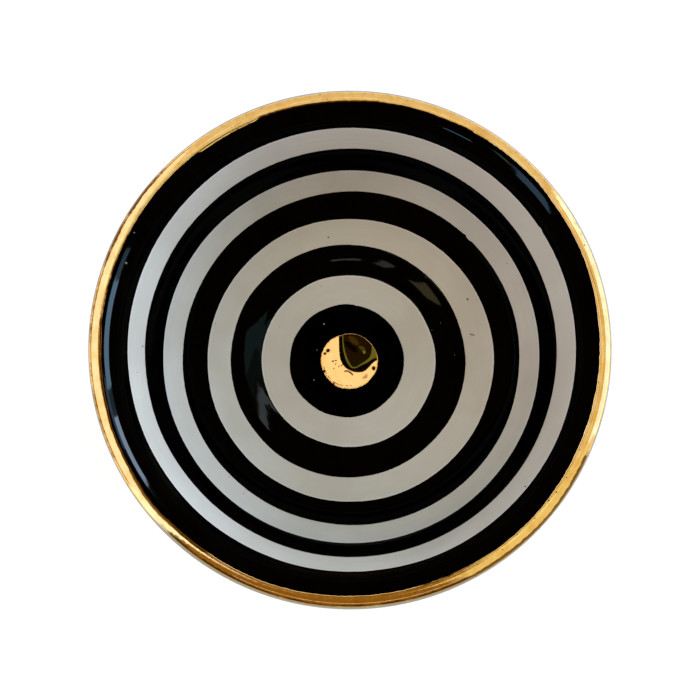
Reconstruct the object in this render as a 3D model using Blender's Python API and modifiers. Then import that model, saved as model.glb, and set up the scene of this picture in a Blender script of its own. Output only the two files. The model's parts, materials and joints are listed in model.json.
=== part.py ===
"""Trinket dish: a wheel-thrown earthenware bowl on a trimmed foot ring.

The clay body carries a white glaze coat, which wraps the inside, the lip and the outside.
Seats in that coat follow the curved wall and take four black painted bands and a black
centre disc. A gold lustre band goes over the lip, and a gold dot marks the centre.

Lengths are metres, +Z is up and the origin is on the table under the middle of the dish.
Every layer is an offset of one path, the visible surface, so the layers nest exactly.
"""

import math
from bisect import bisect_right

import bpy

# Bowl, measured over its glaze
RIM_DIAMETER = 0.1026
WALL_SLOPE = math.radians(58)
WALL_RUN = 0.0140
FLOOR_RADIUS = 0.0200
FLOOR_CURVATURE_RADIUS = 0.180

# Clay inside the glaze
CLAY_THICKNESS = 0.00346
CLAY_LIP_RADIUS = 0.00103

# Foot ring, measured over its glaze
FOOT_DIAMETER = 0.0440
FOOT_WIDTH = 0.0060
FOOT_WELL_DEPTH = 0.0028
FOOT_FILLET = 0.0015
FOOT_WELL_FILLET = 0.0012
FOOT_CHAMFER = 0.0004
BARE_FOOT_HEIGHT = 0.0012

# Layers, from the outside in: paint or lustre, clearance, glaze, clearance, clay
FILM_THICKNESS = 0.00025
FILM_PROUD = 0.00010
FILM_FEATHER = 0.00040
LAYER_GAP = 0.00030
GLAZE_UNDER_SEAT = 0.00025

# Black paint: edges as shares of the surface run from the centre to the top of the lip
CENTRE_DISC_SHARE = 0.197
BAND_EDGE_SHARES = {
    "black_inner_band": (0.300, 0.406),
    "black_middle_band": (0.499, 0.603),
    "black_outer_band": (0.699, 0.794),
}
RIM_BAND_INNER_SHARE = 0.888

# Gold lustre
GOLD_INNER_REACH = 0.00060
GOLD_OUTER_REACH = 0.00205
DOT_DIAMETER = 0.0120

# Faceting
RING_STEPS = 44
CHORD_ERROR = 0.00009
SHORTEST_CHORD = 0.00050
WELD = 0.000001
SHARP_ANGLE = math.radians(30)

# Depths under the visible surface
FILM_TOP = -FILM_PROUD
FILM_BASE = FILM_THICKNESS - FILM_PROUD
SEAT_DEPTH = FILM_BASE + LAYER_GAP
GLAZE_BASE = SEAT_DEPTH + GLAZE_UNDER_SEAT
CLAY_DEPTH = GLAZE_BASE + LAYER_GAP
BARE_DEPTH = LAYER_GAP
WALL_THICKNESS = CLAY_THICKNESS + 2 * CLAY_DEPTH
WIPED_EDGE = GLAZE_BASE / 2

# Colour, roughness and metallic value of each material
FINISHES = {
    "clay": ((0.52, 0.33, 0.22), 0.85, 0.0),
    "white_glaze": ((0.55, 0.53, 0.49), 0.15, 0.0),
    "black_glaze": ((0.006, 0.006, 0.007), 0.10, 0.0),
    "gold_lustre": ((0.90, 0.58, 0.22), 0.22, 1.0),
}


class Path:
    """Lines and arcs in the (radius, height) half plane, each starting where the last ended.

    side is +1 where the clay lies to the right of the direction of travel, or -1.
    """

    def __init__(self, radius, height, side):
        self.side = side
        self.pieces = []
        self.starts = [0.0]
        self.ends = [(radius, height, 0.0)]
        self.stops = []

    @property
    def length(self):
        return self.starts[-1]

    def add(self, length, bend, steps):
        """Adds a stretch that turns left at the rate bend, in radians a metre."""
        start = self.length
        self.pieces.append(bend)
        self.stops += [start + length * step / steps for step in range(1, steps + 1)]
        self.ends.append(self.advance(self.ends[-1], length, bend))
        self.starts.append(start + length)

    def line(self, length):
        self.add(length, 0.0, 1)

    def arc(self, radius, turn):
        """A left turn is positive, and the chords stay within CHORD_ERROR of the arc."""
        widest_chord = 2 * math.acos(1 - CHORD_ERROR / radius)
        steps = math.ceil(abs(turn) / widest_chord)
        self.add(radius * abs(turn), math.copysign(1 / radius, turn), steps)

    @staticmethod
    def advance(place, distance, bend):
        radius, height, heading = place
        if not bend:
            return (
                radius + distance * math.cos(heading),
                height + distance * math.sin(heading),
                heading,
            )
        turned = heading + bend * distance
        return (
            radius + (math.sin(turned) - math.sin(heading)) / bend,
            height - (math.cos(turned) - math.cos(heading)) / bend,
            turned,
        )

    def point(self, along, depth):
        """The (radius, height) point at this distance along the path, this deep in the wall."""
        index = min(bisect_right(self.starts, along), len(self.pieces)) - 1
        radius, height, heading = self.advance(
            self.ends[index], along - self.starts[index], self.pieces[index]
        )
        reach = self.side * depth
        return radius + reach * math.sin(heading), height - reach * math.cos(heading)

    def run(self, start, end, depth):
        """Points from start to end at one depth, at the stops that every layer shares."""
        inner = [
            stop
            for stop in self.stops
            if start + SHORTEST_CHORD < stop < end - SHORTEST_CHORD
        ]
        return [self.point(along, depth) for along in (start, *inner, end)]


def shell_path():
    """The visible surface from the centre, up the inside, over the lip and down to the table.

    It returns the path and the distance along it to the top of the lip.
    """
    slope = WALL_SLOPE
    lip_outer_radius = CLAY_LIP_RADIUS + CLAY_DEPTH
    lip_inner_radius = (
        WALL_THICKNESS - lip_outer_radius * (1 + math.cos(slope))
    ) / (1 - math.cos(slope))
    wall_top = RIM_DIAMETER / 2 - lip_outer_radius - lip_inner_radius * math.sin(slope)
    floor_slope = math.asin(FLOOR_RADIUS / FLOOR_CURVATURE_RADIUS)
    knuckle_span = wall_top - WALL_RUN * math.cos(slope) - FLOOR_RADIUS
    knuckle_radius = knuckle_span / (math.sin(slope) - math.sin(floor_slope))
    knuckle_centre = FLOOR_RADIUS - knuckle_radius * math.sin(floor_slope)
    outer_radius = knuckle_radius + WALL_THICKNESS
    foot_radius = FOOT_DIAMETER / 2
    foot_slope = math.asin(
        (foot_radius + FOOT_FILLET - knuckle_centre) / (outer_radius + FOOT_FILLET)
    )

    path = Path(0.0, FOOT_WELL_DEPTH + WALL_THICKNESS, side=1)
    path.arc(FLOOR_CURVATURE_RADIUS, floor_slope)
    path.arc(knuckle_radius, slope - floor_slope)
    path.line(WALL_RUN)
    path.arc(lip_inner_radius, -slope)
    lip_top = path.length
    path.arc(lip_outer_radius, slope - math.pi)
    path.line(WALL_RUN + (lip_inner_radius - lip_outer_radius) * math.sin(slope))
    path.arc(outer_radius, foot_slope - slope)
    path.arc(FOOT_FILLET, math.pi / 2 - foot_slope)
    path.line(path.ends[-1][1])
    return path, lip_top


def well_path():
    """The underside inside the foot ring, from the centre out and down to the table."""
    path = Path(0.0, FOOT_WELL_DEPTH, side=-1)
    path.line(FOOT_DIAMETER / 2 - FOOT_WIDTH - FOOT_WELL_FILLET)
    path.arc(FOOT_WELL_FILLET, -math.pi / 2)
    path.line(FOOT_WELL_DEPTH - FOOT_WELL_FILLET)
    return path


def clay_side(path):
    """One side of the clay: deep under the glaze, then out to a bare, bevelled foot."""
    bare_start = path.length - BARE_FOOT_HEIGHT + LAYER_GAP
    glazed = path.run(0.0, bare_start, CLAY_DEPTH)
    bare = path.run(bare_start, path.length - FOOT_CHAMFER, BARE_DEPTH)
    return [*glazed, *bare, path.point(path.length, BARE_DEPTH + FOOT_CHAMFER)]


def clay_outline(shell, well):
    """The thrown body, with a flat to stand on between the two sides of the foot."""
    return clay_side(shell) + clay_side(well)[::-1]


def coat_outline(shell, seats):
    """The white coat with its seats, ending in a wiped edge above the table."""
    glaze_end = shell.length - BARE_FOOT_HEIGHT
    top = []
    reached = 0.0
    for start, end in seats:
        if start > reached:
            top += shell.run(reached, start, 0.0)
        top += shell.run(max(start, reached), end, SEAT_DEPTH)
        reached = end
    top += shell.run(reached, glaze_end - WIPED_EDGE, 0.0)
    return top + shell.run(0.0, glaze_end, GLAZE_BASE)[::-1]


def well_glaze_outline(well):
    """The glaze inside the foot ring, ending in the same wiped edge."""
    glaze_end = well.length - BARE_FOOT_HEIGHT
    base = well.run(0.0, glaze_end, GLAZE_BASE)
    return base + well.run(0.0, glaze_end - WIPED_EDGE, 0.0)[::-1]


def film_outline(shell, start, end):
    """A painted band, thinner towards its edges than over the rest of its width."""
    top = shell.run(start + FILM_FEATHER, end - FILM_FEATHER, FILM_TOP)
    base = shell.run(start, end, FILM_BASE)
    return [shell.point(start, 0.0), *top, shell.point(end, 0.0), *base[::-1]]


def disc_outline(shell, end, lift):
    """A painted disc about the axis, raised by lift above where a band would lie."""
    top = shell.run(0.0, end - FILM_FEATHER, FILM_TOP - lift)
    base = shell.run(0.0, end, FILM_BASE - lift)
    return [*top, shell.point(end, -lift), *base[::-1]]


def make_material(name, finish):
    colour, roughness, metallic = FINISHES[finish]
    material = bpy.data.materials.new(name)
    material.use_nodes = True
    shader = material.node_tree.nodes["Principled BSDF"]
    shader.inputs["Base Color"].default_value = (*colour, 1.0)
    shader.inputs["Roughness"].default_value = roughness
    shader.inputs["Metallic"].default_value = metallic
    material.diffuse_color = (*colour, 1.0)
    return material


def turned(name, outline, finish, parent, collection):
    """Turns a clockwise outline of (radius, height) points about the Z axis into a solid."""
    count = len(outline)
    edges = [(index, index + 1) for index in range(count - 1)]
    if outline[0][0] > WELD:
        edges.append((count - 1, 0))
    profile = bpy.data.meshes.new(name + "_profile")
    profile.from_pydata([(radius, 0.0, height) for radius, height in outline], edges, [])
    obj = bpy.data.objects.new(name, profile)
    collection.objects.link(obj)

    screw = obj.modifiers.new("Turn", "SCREW")
    screw.axis = "Z"
    screw.angle = 2 * math.pi
    screw.steps = RING_STEPS
    screw.render_steps = RING_STEPS
    screw.use_merge_vertices = True
    screw.merge_threshold = WELD

    graph = bpy.context.evaluated_depsgraph_get()
    solid = bpy.data.meshes.new_from_object(obj.evaluated_get(graph))
    solid.name = name
    obj.modifiers.clear()
    obj.data = solid
    bpy.data.meshes.remove(profile)
    solid.shade_smooth()
    solid.set_sharp_from_angle(angle=SHARP_ANGLE)
    solid.materials.append(make_material(name, finish))
    obj.parent = parent


def build():
    for obj in list(bpy.data.objects):
        bpy.data.objects.remove(obj)
    collection = bpy.data.collections.new("trinket_dish")
    bpy.context.scene.collection.children.link(collection)
    origin = bpy.data.objects.new("dish_origin", None)
    collection.objects.link(origin)

    shell, lip_top = shell_path()
    well = well_path()
    disc_end = CENTRE_DISC_SHARE * lip_top
    bands = {
        name: (inner * lip_top, outer * lip_top)
        for name, (inner, outer) in BAND_EDGE_SHARES.items()
    }
    gold_start = lip_top - GOLD_INNER_REACH
    gold_end = lip_top + GOLD_OUTER_REACH
    rim_band_start = RIM_BAND_INNER_SHARE * lip_top
    bands["black_rim_band"] = (rim_band_start, gold_start - LAYER_GAP)
    painted = [(0.0, disc_end), *list(bands.values())[:-1], (rim_band_start, gold_end)]
    seats = [(start - LAYER_GAP, end + LAYER_GAP) for start, end in painted]

    def add(name, outline, finish):
        turned(name, outline, finish, origin, collection)

    add("clay_body", clay_outline(shell, well), "clay")
    add("white_glaze_coat", coat_outline(shell, seats), "white_glaze")
    add("footwell_glaze", well_glaze_outline(well), "white_glaze")
    for name, (start, end) in bands.items():
        add(name, film_outline(shell, start, end), "black_glaze")
    add("black_centre_disc", disc_outline(shell, disc_end, 0.0), "black_glaze")
    add("gold_rim_band", film_outline(shell, gold_start, gold_end), "gold_lustre")
    dot_lift = FILM_THICKNESS + LAYER_GAP
    add("gold_centre_dot", disc_outline(shell, DOT_DIAMETER / 2, dot_lift), "gold_lustre")


build()
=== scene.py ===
import json
import math

import bpy
import numpy as np
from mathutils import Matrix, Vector

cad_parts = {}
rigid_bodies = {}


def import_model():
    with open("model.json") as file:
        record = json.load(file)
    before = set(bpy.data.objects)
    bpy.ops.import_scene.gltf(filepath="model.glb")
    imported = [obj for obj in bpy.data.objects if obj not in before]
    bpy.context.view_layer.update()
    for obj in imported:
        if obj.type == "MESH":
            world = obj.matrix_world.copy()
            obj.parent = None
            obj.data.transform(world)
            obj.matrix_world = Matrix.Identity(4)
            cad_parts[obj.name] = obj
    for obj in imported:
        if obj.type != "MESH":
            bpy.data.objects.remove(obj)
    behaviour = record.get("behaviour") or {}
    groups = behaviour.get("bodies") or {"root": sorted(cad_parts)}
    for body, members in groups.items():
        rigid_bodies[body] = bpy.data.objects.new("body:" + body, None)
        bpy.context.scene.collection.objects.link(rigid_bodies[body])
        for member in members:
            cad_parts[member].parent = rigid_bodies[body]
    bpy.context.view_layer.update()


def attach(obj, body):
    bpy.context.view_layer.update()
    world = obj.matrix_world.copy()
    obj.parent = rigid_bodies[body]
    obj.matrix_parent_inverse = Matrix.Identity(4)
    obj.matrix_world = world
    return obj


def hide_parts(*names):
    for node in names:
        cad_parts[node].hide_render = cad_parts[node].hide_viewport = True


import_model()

# Lengths are metres, +Z is up, and the dish stands on the floor at the origin. Every layer
# follows one path, the visible surface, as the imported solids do.
MM = 0.001

# Bowl, measured over its glaze
RIM_DIAMETER = 0.1026
WALL_SLOPE = math.radians(58)
WALL_RUN = 0.0140
FLOOR_RADIUS = 0.0200
FLOOR_CURVATURE_RADIUS = 0.180
WALL_THICKNESS = 0.00546
LIP_OUTER_RADIUS = 0.00203

# Foot ring, measured over its glaze
FOOT_DIAMETER = 0.0440
FOOT_WIDTH = 0.0060
FOOT_WELL_DEPTH = 0.0028
FOOT_FILLET = 0.0015
FOOT_WELL_FILLET = 0.0012
FOOT_CHAMFER = 0.0004
BARE_FOOT_HEIGHT = 0.0012

# Layers
GLAZE_THICKNESS = 0.0007
CLAY_DEPTH = 0.0010
BARE_DEPTH = 0.00025
CLAY_STEP = 0.00020
PAINT_PROUD = 0.00003
PAINT_DEPTH = 0.00012
PAINT_FEATHER = 0.00030
SEAT_DEPTH = 0.00014
SEAT_SLOT = 0.00002
GOLD_PROUD = 0.00005
GOLD_FEATHER = 0.00018

# Painted edges: share of the run from the centre to the top of the lip, then how far the
# ring sits off centre, to the right and away from the camera
PAINTED_EDGES = {
    "disc": (0.1968, -0.00069, 0.00006),
    "inner_start": (0.2998, -0.00029, 0.00004),
    "inner_end": (0.4056, -0.00044, 0.00002),
    "middle_start": (0.4986, 0.00010, -0.00001),
    "middle_end": (0.6025, 0.00022, -0.00005),
    "outer_start": (0.6993, 0.00020, -0.00018),
    "outer_end": (0.7941, 0.00016, 0.00001),
    "rim_start": (0.8879, 0.00029, 0.00006),
}
# Slips of the brush: start and end in degrees round the dish, softness, and reach outwards
SLIPS = {
    "middle_end": ((46.2, 47.2, 0.8, 0.00014), (43.9, 46.0, 0.8, -0.00020)),
    "rim_start": ((31.2, 32.2, 0.8, 0.00026), (268.0, 276.0, 4.0, 0.00006)),
    "disc": ((82.6, 84.4, 1.2, -0.00010),),
}
GOLD_SLIPS = (
    (308.0, 332.0, 12.0, -0.00016),
    (333.0, 369.0, 6.0, -0.00017),
    (15.0, 27.0, 6.0, 0.00010),
    (38.0, 62.0, 8.0, 0.00024),
    (60.0, 80.0, 6.0, 0.00012),
    (86.0, 112.0, 6.0, -0.00014),
    (112.5, 128.0, 3.0, -0.00042),
    (177.0, 197.0, 5.0, -0.00030),
    (215.0, 224.0, 4.0, 0.00018),
)
GOLD_INNER_REACH = 0.00060
GOLD_OUTER_REACH = 0.00205
BLACK_UNDER_GOLD = 0.0012
DOT_RADIUS = 0.0060

# Fineness of the meshes
BAND_COLUMNS = 900
GOLD_COLUMNS = 1440
FOOT_COLUMNS = 360
DOT_COLUMNS = 480
SHARP_ANGLE = math.radians(35)


class Path:
    """Lines and arcs in the (radius, height) half plane, read at whole arrays of places."""

    def __init__(self, radius, height, side):
        self.side = side
        self.bends = []
        self.starts = [0.0]
        self.ends = [(radius, height, 0.0)]

    @property
    def length(self):
        return self.starts[-1]

    def add(self, length, bend):
        radius, height, heading = self.ends[-1]
        turned = heading + bend * length
        if bend:
            radius += (math.sin(turned) - math.sin(heading)) / bend
            height -= (math.cos(turned) - math.cos(heading)) / bend
        else:
            radius += length * math.cos(heading)
            height += length * math.sin(heading)
        self.bends.append(bend)
        self.ends.append((radius, height, turned))
        self.starts.append(self.length + length)

    def line(self, length):
        self.add(length, 0.0)

    def arc(self, radius, turn):
        """A left turn is positive."""
        self.add(radius * abs(turn), math.copysign(1 / radius, turn))

    def read(self, along):
        """Radius, height and heading on the path at each distance along it."""
        index = np.searchsorted(self.starts, along, side="right") - 1
        index = np.clip(index, 0, len(self.bends) - 1)
        radius, height, heading = np.array(self.ends)[index].transpose(-1, *range(index.ndim))
        run = along - np.array(self.starts)[index]
        bend = np.array(self.bends)[index]
        straight = bend == 0
        divisor = np.where(straight, 1.0, bend)
        turned = heading + bend * run
        across = np.where(
            straight, run * np.cos(heading), (np.sin(turned) - np.sin(heading)) / divisor
        )
        up = np.where(
            straight, run * np.sin(heading), (np.cos(heading) - np.cos(turned)) / divisor
        )
        return radius + across, height + up, turned

    def point(self, along, depth):
        """The radius and height at each distance along the path, this deep in the wall."""
        radius, height, heading = self.read(along)
        reach = self.side * depth
        return radius + reach * np.sin(heading), height - reach * np.cos(heading)


def shell_path():
    """The visible surface from the centre over the lip to the table, and where its top is."""
    slope = WALL_SLOPE
    lip_inner_radius = (
        WALL_THICKNESS - LIP_OUTER_RADIUS * (1 + math.cos(slope))
    ) / (1 - math.cos(slope))
    wall_top = RIM_DIAMETER / 2 - LIP_OUTER_RADIUS - lip_inner_radius * math.sin(slope)
    floor_slope = math.asin(FLOOR_RADIUS / FLOOR_CURVATURE_RADIUS)
    knuckle_span = wall_top - WALL_RUN * math.cos(slope) - FLOOR_RADIUS
    knuckle_radius = knuckle_span / (math.sin(slope) - math.sin(floor_slope))
    knuckle_centre = FLOOR_RADIUS - knuckle_radius * math.sin(floor_slope)
    outer_radius = knuckle_radius + WALL_THICKNESS
    foot_radius = FOOT_DIAMETER / 2
    foot_slope = math.asin(
        (foot_radius + FOOT_FILLET - knuckle_centre) / (outer_radius + FOOT_FILLET)
    )
    path = Path(0.0, FOOT_WELL_DEPTH + WALL_THICKNESS, side=1)
    path.arc(FLOOR_CURVATURE_RADIUS, floor_slope)
    path.arc(knuckle_radius, slope - floor_slope)
    path.line(WALL_RUN)
    path.arc(lip_inner_radius, -slope)
    top = path.length
    path.arc(LIP_OUTER_RADIUS, slope - math.pi)
    path.line(WALL_RUN + (lip_inner_radius - LIP_OUTER_RADIUS) * math.sin(slope))
    path.arc(outer_radius, foot_slope - slope)
    path.arc(FOOT_FILLET, math.pi / 2 - foot_slope)
    path.line(path.ends[-1][1])
    return path, top


def well_path():
    """The underside inside the foot ring, from the centre out and down to the table."""
    path = Path(0.0, FOOT_WELL_DEPTH, side=-1)
    path.line(FOOT_DIAMETER / 2 - FOOT_WIDTH - FOOT_WELL_FILLET)
    path.arc(FOOT_WELL_FILLET, -math.pi / 2)
    path.line(FOOT_WELL_DEPTH - FOOT_WELL_FILLET)
    return path


SHELL, LIP_TOP = shell_path()
WELL = well_path()
GOLD_START = LIP_TOP - GOLD_INNER_REACH
GOLD_END = LIP_TOP + GOLD_OUTER_REACH
GLAZE_END = SHELL.length - BARE_FOOT_HEIGHT
# Where the lip turns into the outer wall
LIP_END = SHELL.starts[5]


# Hand work: ripples of the throwing, and edges that waver as a brush does

def smooth_step(low, high, value):
    share = np.clip((value - low) / (high - low), 0.0, 1.0)
    return share * share * (3 - 2 * share)


def ring_noise(angles, seed, lowest, highest, decay):
    """Noise of unit strength round a ring, between two counts of waves to the turn."""
    rng = np.random.default_rng(seed)
    turns = np.arange(lowest, highest + 1)
    weights = turns.astype(float) ** -decay
    phases = rng.uniform(0, 2 * math.pi, len(turns))
    waves = weights[:, None] * np.cos(turns[:, None] * np.ravel(angles) + phases[:, None])
    strength = math.sqrt((weights**2).sum() / 2)
    return (waves.sum(0) / strength).reshape(np.shape(angles))


THROWING_PITCH = 0.0078
THROWING_HEIGHT = 0.000022
LOBE_HEIGHT = 0.000030
LOBE_TWISTS = (0.0060, 0.0043)
LIP_DIP = 0.00010
LIP_DIP_REACH = 0.0050
CALM_CENTRE = (0.0080, 0.0160)
CALM_FOOT = 0.0060


def ripple(along, angles):
    """How far the thrown surface stands above the true one."""
    calm = smooth_step(*CALM_CENTRE, along)
    calm = calm * (1 - smooth_step(SHELL.length - 2 * CALM_FOOT, SHELL.length - CALM_FOOT, along))
    spiral = 2 * math.pi * along / THROWING_PITCH + angles + 0.9 * np.sin(2 * angles + 0.7)
    rings = THROWING_HEIGHT * np.sin(spiral)
    wide, tight = (along / twist for twist in LOBE_TWISTS)
    lobes = 0.6 * np.sin(3 * angles + wide + 1.0) + 0.4 * np.sin(5 * angles - tight + 2.6)
    near_lip = np.exp(-(((along - LIP_TOP) / LIP_DIP_REACH) ** 2))
    dip = 0.5 + 0.3 * np.sin(2 * angles + 0.4) + 0.2 * np.sin(3 * angles + 2.0)
    return calm * ((rings + LOBE_HEIGHT * lobes) * (1 - near_lip) - LIP_DIP * dip * near_lip)


def within(angles, start, end, soft=4.0):
    """1 inside a range of degrees and 0 outside it, with soft ends."""
    degrees = np.degrees(angles)
    middle = (start + end) / 2
    away = np.abs((degrees - middle + 180) % 360 - 180)
    return 1 - smooth_step((end - start) / 2 - soft / 2, (end - start) / 2 + soft / 2, away)


def ring_angles(columns):
    return np.arange(columns) * (2 * math.pi / columns)


def painted_edge(columns, along, right, away, seed, waver=0.00006, fray=0.000012, slips=()):
    """Distances to a painted ring that sits off centre and wavers, with slips of the brush."""
    angles = ring_angles(columns)
    heading = SHELL.read(np.array([along]))[2][0]
    shift = right * np.cos(angles) + away * np.sin(angles)
    slow = waver * ring_noise(angles, seed, 2, 14, 0.8)
    fine = fray * ring_noise(angles, seed + 100, 30, 260, 0.4)
    for first, last, soft, reach in slips:
        slow = slow + reach * within(angles, first, last, soft)
    return along + shift / math.cos(heading) + slow + fine


# Meshes

def spin(path, along, depth, rough=True):
    """Points round the axis for rows by columns of distances along a path and depths under it."""
    angles = np.broadcast_to(ring_angles(along.shape[1]), along.shape)
    lift = ripple(along, angles) if rough else 0.0
    radius, height = path.point(along, depth - lift)
    return np.stack([radius * np.cos(angles), radius * np.sin(angles), height], -1)


def lathe_faces(rows, columns, capped):
    """Vertex numbers of the faces between rows of points. A capped mesh has a pole at each end."""
    first = 1 if capped else 0
    rings = rows - 2 if capped else rows
    index = first + np.arange(rings * columns).reshape(rings, columns)
    beside = np.roll(index, -1, 1)
    if not capped:
        above = np.roll(index, -1, 0)
        corner = np.roll(above, -1, 1)
        return np.stack([index, above, corner, beside], -1).reshape(-1, 4).tolist()
    quads = np.stack([index[:-1], index[1:], beside[1:], beside[:-1]], -1)
    last = first + rings * columns
    start_fan = [[0, int(a), int(b)] for a, b in zip(index[0], beside[0])]
    end_fan = [[int(a), last, int(b)] for a, b in zip(index[-1], beside[-1])]
    return start_fan + quads.reshape(-1, 4).tolist() + end_fan


def flatten_rows(values, capped):
    """Values for each point of a mesh in its order, from rows by columns."""
    rings = values[1:-1] if capped else values
    flat = rings.reshape(-1, *values.shape[2:])
    return np.concatenate([values[0, :1], flat, values[-1, :1]]) if capped else flat


def add_object(name, data):
    obj = bpy.data.objects.new(name, data)
    bpy.context.scene.collection.objects.link(obj)
    return obj


def add_piece(name, points, material, node, slot, capped=True, **values):
    """A closed piece of the dish from rows by columns of points, and what its material reads."""
    mesh = bpy.data.meshes.new(name)
    faces = lathe_faces(*points.shape[:2], capped)
    mesh.from_pydata(flatten_rows(points, capped).tolist(), [], faces)
    mesh.update()
    mesh.shade_smooth()
    mesh.set_sharp_from_angle(angle=SHARP_ANGLE)
    mesh.materials.append(material)
    obj = add_object(name, mesh)
    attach(obj, "root")
    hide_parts(node)
    for key, rows in values.items():
        attribute = mesh.attributes.new(key, "FLOAT", "POINT")
        attribute.data.foreach_set("value", flatten_rows(rows, capped).astype(np.float32))


def run_rows(start, end, spacing):
    """Distances from one edge to another, about this far apart."""
    count = max(1, round(abs(float(np.mean(end - start))) / spacing))
    return [start, *(start + share * (end - start) for share in np.arange(1, count) / count), end]


def at_depth(rows, depth):
    """Pairs of a distance and a depth, for rows at one depth."""
    return [(along, depth) for along in rows]


def quarter_turn(steps):
    """Sines and cosines through a quarter turn, for rounded edges."""
    turns = [math.pi / 2 * share for share in np.linspace(0.0, 1.0, steps)]
    return [(math.sin(turn), math.cos(turn)) for turn in turns]


def stack_rows(rows, columns):
    """Distances and depths, each rows by columns, from pairs of them."""
    return [np.array([np.broadcast_to(row, columns) for row in part]) for part in zip(*rows)]


FEATHER_STEPS = (0.0, 0.12, 0.30, 0.60, 1.0)


def feathered_edge(edge, reach, proud):
    """Rows that rise from the edge of a painted band to its top."""
    return [(edge + reach * step, -proud * math.sin(math.pi / 2 * step)) for step in FEATHER_STEPS]


def band_points(start, end, proud, feather, columns, spacing=0.00045):
    """Points of a painted band with rounded edges, and how far along the surface they are."""
    rows = feathered_edge(start, feather, proud)
    rows += at_depth(run_rows(start + feather, end - feather, spacing)[1:-1], -proud)
    rows += feathered_edge(end, -feather, proud)[::-1]
    rows += at_depth(run_rows(end, start, 3 * spacing), PAINT_DEPTH)
    along, depth = stack_rows(rows, columns)
    return spin(SHELL, along, depth), along


# Materials

def node(tree, kind, inputs=None, **settings):
    made = tree.nodes.new("ShaderNode" + kind)
    for key, value in settings.items():
        setattr(made, key, value)
    for key, value in (inputs or {}).items():
        if isinstance(value, bpy.types.NodeSocket):
            tree.links.new(value, made.inputs[key])
        else:
            made.inputs[key].default_value = value
    return made


def maths(tree, operation, *values):
    return node(tree, "Math", dict(enumerate(values)), operation=operation).outputs[0]


def noise(tree, place, scale, detail=2.0, rough=0.5):
    inputs = {"Vector": place, "Scale": scale, "Detail": detail, "Roughness": rough}
    return node(tree, "TexNoise", inputs).outputs["Fac"]


def remap(tree, value, low, high, to_low=0.0, to_high=1.0):
    ends = {"From Min": low, "From Max": high, "To Min": to_low, "To Max": to_high}
    made = node(tree, "MapRange", {"Value": value, **ends}, interpolation_type="SMOOTHSTEP")
    return made.outputs["Result"]


def blend(tree, factor, first, second):
    """A colour between two, each a socket or a colour."""
    first = first if isinstance(first, bpy.types.NodeSocket) else (*first, 1.0)
    second = second if isinstance(second, bpy.types.NodeSocket) else (*second, 1.0)
    inputs = {"Factor": factor, 6: first, 7: second}
    return node(tree, "Mix", inputs, data_type="RGBA").outputs[2]


def round_axis(tree, place, turns, rings):
    """Coordinates that run slowly round the axis and quickly across it, for brush marks."""
    parts = node(tree, "SeparateXYZ", {0: place})
    flat = node(tree, "CombineXYZ", {"X": parts.outputs["X"], "Y": parts.outputs["Y"]})
    radius = node(tree, "VectorMath", {0: flat.outputs[0]}, operation="LENGTH").outputs["Value"]
    safe = maths(tree, "MAXIMUM", radius, 0.0005)
    around = node(tree, "VectorMath", {0: flat.outputs[0]}, operation="NORMALIZE").outputs[0]
    around = node(tree, "VectorMath", {0: around, "Scale": turns}, operation="SCALE").outputs[0]
    climb = maths(tree, "MULTIPLY", maths(tree, "ADD", safe, parts.outputs["Z"]), rings)
    rise = node(tree, "CombineXYZ", {"Z": climb}).outputs[0]
    return node(tree, "VectorMath", {0: around, 1: rise}, operation="ADD").outputs[0]


def spots(tree, place, scale, size, share):
    """A mask of small round spots, in the given share of the cells."""
    cells = node(tree, "TexVoronoi", {"Vector": place, "Scale": scale})
    near = remap(tree, cells.outputs["Distance"], size, 0.5 * size)
    chosen = node(tree, "SeparateColor", {0: cells.outputs["Color"]}).outputs[0]
    return maths(tree, "MULTIPLY", near, maths(tree, "GREATER_THAN", chosen, 1 - share))


def marks(tree, place, places):
    """A mask of small round marks, from their places to the right and away and their sizes."""
    inputs = {0: place, 1: (1.0, 1.0, 0.0)}
    flat = node(tree, "VectorMath", inputs, operation="MULTIPLY").outputs[0]
    mask = 0.0
    for right, away, size in MM * np.array(places):
        inputs = {0: flat, 1: (right, away, 0.0)}
        gap = node(tree, "VectorMath", inputs, operation="DISTANCE").outputs["Value"]
        mask = maths(tree, "MAXIMUM", mask, remap(tree, gap, size, 0.4 * size))
    return mask


def read_values(tree, name):
    """Values that a mesh holds for each of its points, 0 where it has none."""
    return node(tree, "Attribute", attribute_name=name).outputs["Fac"]


def bump(tree, height, distance, strength=1.0, normal=None):
    inputs = {"Height": height, "Distance": distance, "Strength": strength}
    if normal:
        inputs["Normal"] = normal
    return node(tree, "Bump", inputs).outputs[0]


def new_material(name, **values):
    """A material with a Principled shader, its tree and the place on the piece."""
    material = bpy.data.materials.new(name)
    material.use_nodes = True
    tree = material.node_tree
    shader = tree.nodes["Principled BSDF"]
    for key, value in values.items():
        shader.inputs[key.replace("_", " ")].default_value = value
    place = node(tree, "TexCoord").outputs["Object"]
    return material, tree, place


def finish_material(material, body, sheen, skin=None):
    """Link a colour, a roughness and a surface to the shader."""
    tree = material.node_tree
    inputs = tree.nodes["Principled BSDF"].inputs
    tree.links.new(body, inputs["Base Color"])
    tree.links.new(sheen, inputs["Roughness"])
    if skin:
        tree.links.new(skin, inputs["Normal"])
    return material


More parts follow.
